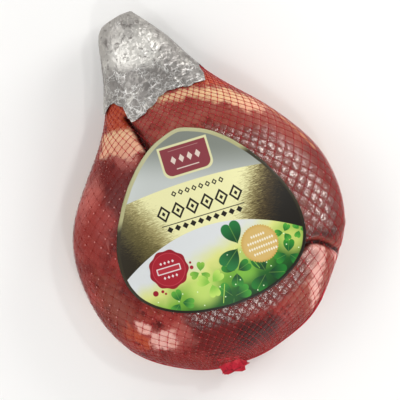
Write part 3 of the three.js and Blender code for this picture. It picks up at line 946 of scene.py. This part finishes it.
rim_angles, rim_reaches = label_rim()
label, a, b = grid_piece("printed_label", LABEL_COLUMNS, LABEL_RINGS, as_disc)
angle = 2 * math.pi * a
reach = b * np.interp(np.mod(angle + math.pi, 2 * math.pi) - math.pi, rim_angles, rim_reaches)
x, y = at_polar(angle, reach)
found = [ham_surface.ray_cast(Vector((px, py, 1)), Vector((0, 0, -1)))[:2] for px, py in zip(x, y)]
shape(label, np.array([place + facing * LABEL_FACE for place, facing in found]))
rim_outline = np.c_[at_polar(rim_angles[:-1:6], rim_reaches[:-1:6])] / MM
remember(label, "inward", depth_in(positions(label.data), [tuple(p) for p in rim_outline]))
label_wall = label.modifiers.new("wall", "SOLIDIFY")
label_wall.thickness = LABEL_WALL
label_wall.offset = -1 if label.data.polygons[0].normal.z > 0 else 1


def printed_film():
    """Metallised polyester film under coloured inks and a clear varnish: satin, with a pearly sheen."""
    ink = new_material("printed_metallised_film")
    place = add(ink, "TexCoord", output="Object")
    place = add(ink, "VectorMath", {0: place, "Scale": 1 / MM}, operation="SCALE")

    def local(centre, turn=0.0, size=1.0):
        """x and y in millimetres from a centre, turned by degrees and in units of size."""
        turned = {"Location": (*centre, 0), "Rotation": (0, 0, math.radians(turn)), "Scale": (size, size, 1)}
        moved = add(ink, "Mapping", {"Vector": place, **turned}, vector_type="TEXTURE")
        return add(ink, "SeparateXYZ", {0: moved}, output=("X", "Y"))

    def disc(centre, radius, waves=0, wave=0.0, soft=0.3):
        """Inside a circle, whose edge may be scalloped."""
        across, up = local(centre)
        far = distance(ink, across, up)
        if waves:
            turns = add(ink, "MULTIPLY", (add(ink, "ARCTAN2", (up, across)), float(waves)))
            far = add(ink, "MULTIPLY_ADD", (add(ink, "SINE", (turns,)), wave, far))
        return fade(ink, far, radius + soft, radius - soft)

    def bar(centre, half_width, half_height, turn=0.0, corner=0.4):
        """Inside a rectangle with rounded corners."""
        past = []
        for way, half in zip(local(centre, turn), (half_width, half_height)):
            way = add(ink, "SUBTRACT", (add(ink, "ABSOLUTE", (way,)), half - corner))
            past.append(add(ink, "MAXIMUM", (way, 0.0)))
        return fade(ink, distance(ink, *past), corner + 0.25, corner - 0.25)

    def lozenges(centre, pitch, half_width, half_height, count, turn=0.0):
        """A row of lozenges."""
        across, up = local(centre, turn)
        row_end = pitch * count / 2
        within = fade(ink, add(ink, "ABSOLUTE", (across,)), row_end + 0.01, row_end)
        across = add(ink, "ADD", (across, row_end - pitch / 2))
        across = add(ink, "ABSOLUTE", (add(ink, "WRAP", (across, pitch / 2, -pitch / 2)),))
        across = add(ink, "DIVIDE", (across, half_width))
        up = add(ink, "DIVIDE", (add(ink, "ABSOLUTE", (up,)), half_height))
        far = add(ink, "ADD", (across, up))
        return add(ink, "MULTIPLY", (within, fade(ink, far, 1 + 0.25 / half_width, 1 - 0.25 / half_width)))

    def shield(top, half_width, drop):
        """Inside a shield: square at the top, round at its lower corners."""
        body = bar((0, top - drop), half_width, drop, corner=0.32 * half_width)
        return add(ink, "MAXIMUM", (body, bar((0, top - 0.6 * drop), half_width, 0.6 * drop)))

    def clover(centre, size, turn):
        """Three heart-shaped leaflets round a centre: inside them, the share from the centre outwards, and on
        their midribs."""
        across, up = local(centre, turn, size / 2)
        far = distance(ink, across, up)
        third = 2 * math.pi / 3
        angle = add(ink, "WRAP", (add(ink, "ARCTAN2", (across, up)), third / 2, -third / 2))
        across, up = [add(ink, "MULTIPLY", (far, add(ink, side, (angle,)))) for side in ("SINE", "COSINE")]
        across = add(ink, "ABSOLUTE", (across,))
        up = add(ink, "MULTIPLY_ADD", (add(ink, "SQRT", (across,)), -0.62, add(ink, "SUBTRACT", (up, 1.0))))
        inside = fade(ink, distance(ink, across, up), 0.86, 0.8)
        rib = fade(ink, across, 0.06, 0.0)
        return inside, add(ink, "MULTIPLY", (far, 0.45)), add(ink, "MULTIPLY", (rib, inside))

    # The silver panel, the gold band with its brushed ends, and the white and green lens below.
    x, y = local((0, 0))
    sheen = add(ink, "MULTIPLY_ADD", (y, 0.012, add(ink, "MULTIPLY", (x, 0.004))))
    silver = coats(ink, "#7c8178", [
        (fade(ink, sheen, 1.05, 0.45), "#bdc2be"),
        (fade(ink, x, 62.0, 90.0), "#8d8f82"),
    ])
    hairs = []
    for turn, fine in ((38, 1.0), (28, 2.2)):
        slanting = {"Rotation": (0, 0, math.radians(-turn)), "Scale": (0.10 * fine, 0.9 * fine, 1)}
        hair = add(ink, "Mapping", {"Vector": place, **slanting})
        hairs.append(add(ink, "TexNoise", {"Vector": hair, "Scale": 1.0, "Detail": 5.0, "Roughness": 0.7}))
    strays = add(ink, "MULTIPLY", (add(ink, "SUBTRACT", (add(ink, "ADD", hairs), 1.0)), 46.0))
    right_end = add(ink, "ADD", (add(ink, "MULTIPLY_ADD", (y, -0.5, x)), strays))
    left_end = add(ink, "ADD", (add(ink, "MULTIPLY_ADD", (y, -0.5, add(ink, "MULTIPLY", (x, -1.0)))), strays))
    gold = coats(ink, "#e4e1aa", [
        (fade(ink, right_end, 28.0, 50.0), "#918453"),
        (fade(ink, right_end, 40.0, 62.0), "#413316"),
        (fade(ink, right_end, 56.0, 82.0), "#120d04"),
        (fade(ink, left_end, 30.0, 52.0), "#9c915e"),
        (fade(ink, left_end, 46.0, 68.0), "#5d542d"),
        (fade(ink, left_end, 66.0, 92.0), "#241c0a"),
    ])
    glow = add(ink, "TexNoise", {"Vector": place, "Scale": 0.035, "Detail": 2.0})
    depth = add(ink, "SUBTRACT", (add(ink, "MULTIPLY", (x, 0.28)), y))
    depth = add(ink, "MULTIPLY_ADD", (glow, 30.0, depth))
    lens = coats(ink, "#d3d6d6", [
        (fade(ink, depth, 30.0, 56.0), "#d3d77e"),
        (fade(ink, depth, 52.0, 74.0), "#6fa832"),
        (fade(ink, depth, 68.0, 94.0), "#1a5d1d"),
        (fade(ink, depth, 86.0, 114.0), "#093013"),
        (add(ink, "MULTIPLY", (disc((-22, -64), 15, soft=9.0), 0.75)), "#c7dd71"),
        (add(ink, "MULTIPLY", (disc((80, -40), 12, soft=9.0), 0.7)), "#d6db73"),
        (add(ink, "MULTIPLY", (disc((26, -62), 8, soft=7.0), 0.45)), "#87c445"),
    ])
    squared = add(ink, "MULTIPLY", (x, x))
    band_top = add(ink, "MULTIPLY_ADD", (squared, -0.0009, 47.0))
    lens_top = add(ink, "MULTIPLY_ADD", (squared, -0.0034, -2.1))
    in_band = fade(ink, add(ink, "SUBTRACT", (band_top, y)), -0.25, 0.25)
    in_lens = fade(ink, add(ink, "SUBTRACT", (lens_top, y)), -0.25, 0.25)

    # Clovers, from the back of the picture to the front.
    clovers = [  # centre, size, turn, colour at the heart and at the tips of the leaflets
        ((-48, -70), 13, 10, "#1c6529", "#59a438"), ((6, -80), 17, 40, "#0d4a20", "#3b912e"),
        ((-20, -46), 10, 100, "#609f35", "#84b740"), ((45, -66), 20, 15, "#093f1e", "#1b7325"),
        ((-12, -60), 14, 62, "#7eb83f", "#b4d461"), ((72, -54), 14, -20, "#105a27", "#2c8729"),
        ((74, -32), 9, 80, "#1d7024", "#459d33"), ((90, -34), 8, 25, "#288229", "#52a137"),
        ((16, -56), 15, -72, "#0c4520", "#2c822a"), ((26, -32), 25, 10, "#0b4521", "#207236"),
    ]
    for centre, size, turn, heart, tip in clovers:
        inside, out, rib = clover(centre, size, turn)
        rib = add(ink, "MULTIPLY", (rib, 0.3))
        leaflet = coats(ink, heart, [(fade(ink, out, 0.25, 0.95), tip), (rib, "#95c755")])
        lens = coats(ink, lens, [(inside, leaflet)])
    spots = add(ink, "TexVoronoi", {"Vector": place, "Scale": 1 / 17}, voronoi_dimensions="2D")
    sparkle = add(ink, "MULTIPLY", (fade(ink, spots, 0.05, 0.025), fade(ink, depth, 50.0, 60.0)))
    lens = coats(ink, lens, [
        (bar((34, -47), 0.4, 14, turn=24), "#76b241"),
        (bar((-3, -74), 0.35, 10, turn=-20), "#afd15c"),
        (sparkle, "#ddf1c4"),
    ])

    # The ornament: shield, rows of lozenges between rules, wax seal with a bare banner, and a gold badge.
    dark = "#1b1610"
    colour = coats(ink, silver, [
        (in_band, gold),
        (in_lens, lens),
        (shield(87.5, 26.4, 16.8), "#d6d3a4"),
        (shield(85.2, 24.2, 14.6), "#833840"),
        (bar((0, 81.6), 16, 0.3), "#ab7b78"),
        (lozenges((0, 71.5), 8.6, 3.0, 4.4, 4), "#d9c6b9"),
        (bar((0, 62), 12, 0.5), "#d9c6b9"),
        (lozenges((2.7, 38.6), 7.2, 2.9, 3.2, 8), dark),
        (lozenges((2.7, 38.6), 7.2, 1.3, 1.5, 8), "#e4e1aa"),
        (lozenges((0, 21.5), 15.4, 7.3, 8.9, 6), dark),
        (lozenges((0, 21.5), 15.4, 4.7, 5.8, 6), "#e4e1aa"),
        (lozenges((0, 21.5), 15.4, 2.0, 2.6, 6), dark),
        (bar((0, 9.2), 44, 0.45), dark),
        (lozenges((0.4, 4.3), 8.2, 3.4, 3.4, 10), dark),
        (disc((-50, -34), 20.0, 9, 0.7), "#911323"),
        (disc((-50, -34), 17.2), "#b73641"),
        (disc((-50, -34), 16.4), "#a01929"),
        (bar((-50, -34), 12.5, 3.4, corner=0.8), "#dfd0ce"),
        (bar((-50, -34), 11.4, 2.3, corner=0.4), "#ae2d38"),
        (lozenges((-50, -26.5), 4.2, 1.3, 1.6, 4), "#e6d6d4"),
        (lozenges((-50, -41.5), 4.2, 1.3, 1.6, 4), "#e6d6d4"),
        (disc((-27, -33.4), 1.3), "#911323"),
        (disc((-27, -38.6), 2.0), "#9a1627"),
        (disc((-70, -54), 2.9), "#911323"),
        (disc((-62.5, -54), 1.6), "#9a1627"),
        (disc((-60, -57), 1.2), "#9a1627"),
        (disc((47, -35.5), 19.2, 44, 0.5), "#c29d4e"),
        (disc((47, -35.5), 17.6, soft=2.5), "#ccac66"),
    ])
    for line, count in enumerate((6, 11, 12, 10)):
        row = lozenges((47 + 1.2 * line, -26.8 - 6 * line), 2.6, 1.2, 1.8, count, turn=4)
        colour = coats(ink, colour, [(row, "#e5ddc4")])

    # The printed border along the cut edge, pale at the top left and almost black at the lower right.
    inward = add(ink, "Attribute", output="Fac", attribute_name="inward")
    height = add(ink, "MULTIPLY_ADD", (x, -0.277, y))
    border = coats(ink, "#191409", [
        (fade(ink, height, -70.0, -20.0), "#2e2713"),
        (fade(ink, height, 40.0, 52.0), "#a8a577"),
        (fade(ink, height, 60.0, 95.0), "#b6b48c"),
    ])
    border_width = add(ink, "MapRange", {0: height, 1: 0, 2: 50, 3: NARROW_BORDER, 4: BORDER})
    past_border = add(ink, "SUBTRACT", (inward, border_width))
    colour = coats(ink, colour, [(fade(ink, past_border, 0.3, -0.3), border)])
    surface = add(ink, "BsdfPrincipled", {
        "Base Color": colour, "Metallic": 0.1, "Roughness": 0.4, "Specular IOR Level": 0.3,
    })
    add(ink, "OutputMaterial", {"Surface": surface})
    return ink


label.data.materials.append(printed_film())
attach(label, "root")
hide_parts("label")

# ------------------------------------------------------------------------------------------------------------
# The place it lies on, the camera and the light: a pale paper sweep in a white room, and the camera straight
# above. A window at the upper left lights it, low strips round it light its sides, and two small lamps high
# up make the film over air sparkle.
# ------------------------------------------------------------------------------------------------------------
SWEEP_SIZE = 12
FIELD = 416 * MM  # what the view spans at the height of the ham's rim
RIM_HEIGHT = 40 * MM
CAMERA_DISTANCE = 4.0
VIEW_CENTRE = (1.4 * MM, 24.8 * MM)
LEAN = math.radians(-17)
SENSOR = 36
ROOM_LIGHT = 0.46

bpy.ops.mesh.primitive_plane_add(size=SWEEP_SIZE)
floor = bpy.context.object
floor.name = "floor"
paper = new_material("white_paper_sweep")
matt_paper = add(paper, "BsdfPrincipled", {"Base Color": "#f6f5f3", "Roughness": 0.8})
add(paper, "OutputMaterial", {"Surface": matt_paper})
floor.data.materials.append(paper)

camera = as_piece("camera", bpy.data.cameras.new("camera"))
camera.location = (*VIEW_CENTRE, RIM_HEIGHT + CAMERA_DISTANCE)
camera.rotation_euler = (0, 0, LEAN)
camera.data.sensor_width = SENSOR
camera.data.lens = SENSOR * CAMERA_DISTANCE / FIELD
bpy.context.scene.camera = camera


def soft_box(name, place, size, power):
    """A rectangular light that faces the ham's middle."""
    lamp = bpy.data.lights.new(name, "AREA")
    lamp.shape = "RECTANGLE"
    lamp.size, lamp.size_y = size
    lamp.energy = power
    box = as_piece(name, lamp)
    box.location = place
    box.rotation_euler = (Vector((0, 0, RIM_HEIGHT)) - Vector(place)).to_track_quat("-Z", "Y").to_euler()


soft_box("left_window", (-1.9, 0.9, 2.0), (1.3, 1.3), 17)
soft_box("right_strip", (1.7, 0.75, 0.8), (0.9, 1.3), 21)
soft_box("butt_strip", (0.5, -1.9, 0.5), (1.5, 0.7), 17)
soft_box("left_strip", (-1.6, -0.7, 0.7), (0.7, 0.9), 6)
soft_box("shank_strip", (-0.6, 2.0, 0.9), (1.2, 0.6), 8)
soft_box("right_sparkle", (0.95, 0.3, 2.0), (0.16, 0.16), 4.5)
soft_box("butt_sparkle", (0.15, -1.0, 2.0), (0.16, 0.16), 4.5)

world = bpy.data.worlds.new("studio")
world.use_nodes = True
world.node_tree.nodes["Background"].inputs["Color"].default_value = linear("#ffffff")
world.node_tree.nodes["Background"].inputs["Strength"].default_value = ROOM_LIGHT
bpy.context.scene.world = world
bpy.context.scene.view_settings.view_transform = "Standard"
